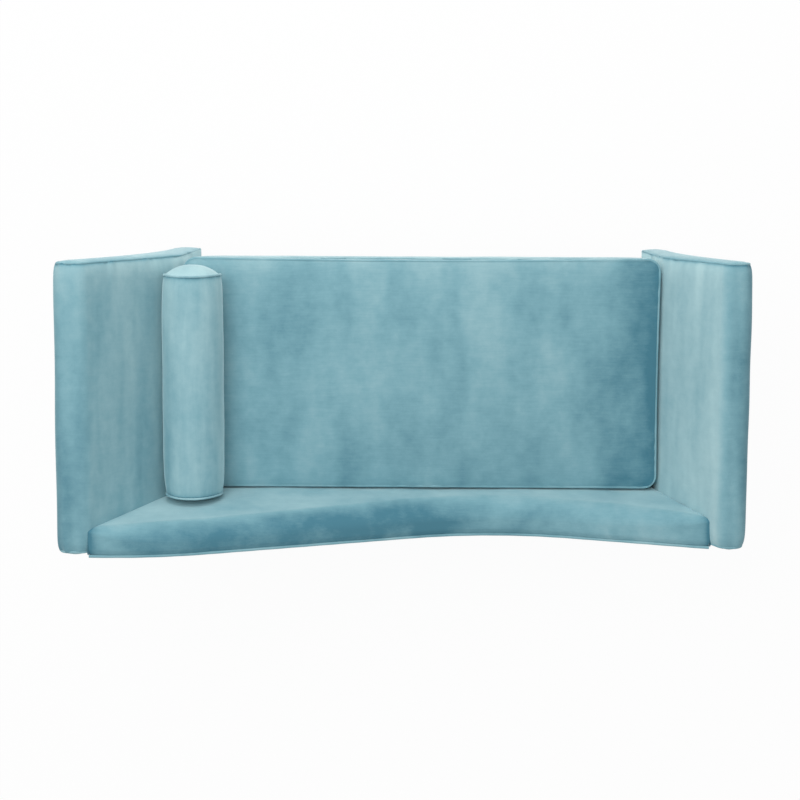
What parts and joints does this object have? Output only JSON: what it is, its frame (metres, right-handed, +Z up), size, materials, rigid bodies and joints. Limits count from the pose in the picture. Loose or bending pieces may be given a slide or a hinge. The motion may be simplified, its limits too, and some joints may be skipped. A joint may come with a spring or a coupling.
{
  "type": "chaise longue",
  "caption": "Upholstered chaise longue with two outswept rolled arms of different height, a back that swoops between them, a boxed seat cushion and a round bolster.",
  "frame": {"origin": "on the floor under the middle of the overall box", "axes": "+X towards the head end with the bolster, +Y towards the back, +Z up; the front of the seat faces -Y"},
  "size_m": [1.6492, 0.7343, 0.77],
  "materials": {
    "velvet": "short-pile velvet, duck-egg teal",
    "foam": "cut upholstery foam",
    "timber": "planed beech",
    "board": "smooth fibreboard",
    "leg_wood": "dark stained, satin lacquer",
    "steel": "zinc plated",
    "nylon": "moulded nylon",
    "webbing": "woven elastic webbing",
    "felt": "needle felt under a thin cloth",
    "lining_cloth": "black non-woven cloth"
  },
  "bodies": {
    "chaise_frame": {"arm_bolts": "steel", "back_bolts": "steel", "back_cover": "velvet", "back_foam": "foam", "back_liner": "board", "back_outer_facing": "velvet", "back_posts": "timber", "back_rail": "timber", "back_top_rail": "timber", "back_welt": "velvet", "centre_rails": "timber", "corner_blocks": "timber", "dust_cover": "lining_cloth", "foot_arm_cover": "velvet", "foot_arm_foam": "foam", "foot_arm_formers": "timber", "foot_arm_front_facing": "velvet", "foot_arm_liner": "board", "foot_arm_mount_rail": "timber", "foot_arm_rear_facing": "velvet", "foot_arm_top_rail": "timber", "foot_arm_welts": "velvet", "foot_end_rail": "timber", "front_border": "velvet", "front_rail": "timber", "hanger_bolts": "steel", "head_arm_cover": "velvet", "head_arm_foam": "foam", "head_arm_formers": "timber", "head_arm_front_facing": "velvet", "head_arm_liner": "board", "head_arm_mount_rail": "timber", "head_arm_rear_facing": "velvet", "head_arm_top_rail": "timber", "head_arm_welts": "velvet", "head_end_rail": "timber", "leg_foot_back": "leg_wood", "leg_foot_front": "leg_wood", "leg_glides": "nylon", "leg_head_back": "leg_wood", "leg_head_front": "leg_wood", "leg_plates": "steel", "plate_screws": "steel", "seat_deck_pad": "felt", "seat_webbing_cross": "webbing", "seat_webbing_long": "webbing", "webbing_rail": "timber"},
    "seat_cushion": {"cushion_core": "foam", "cushion_boxing": "velvet", "cushion_top_panel": "velvet", "cushion_bottom_panel": "velvet", "cushion_welts": "velvet", "cushion_zip": "nylon"},
    "bolster": {"bolster_core": "foam", "bolster_tube": "velvet", "bolster_front_end": "velvet", "bolster_rear_end": "velvet", "bolster_welts": "velvet"},
    "zip_runner": {"zip_slider": "steel"}
  },
  "joints": [
    {"name": "cushion_lift", "type": "slide", "parent": "chaise_frame", "child": "seat_cushion", "axis": [0, 0, 1], "range_m": [0, 0.5]},
    {"name": "bolster_lift", "type": "slide", "parent": "seat_cushion", "child": "bolster", "axis": [0, 0, 1], "range_m": [0, 0.4]},
    {"name": "zip_slide", "type": "slide", "parent": "seat_cushion", "child": "zip_runner", "axis": [-1, 0, 0], "range_m": [0, 0.876]}
  ]
}
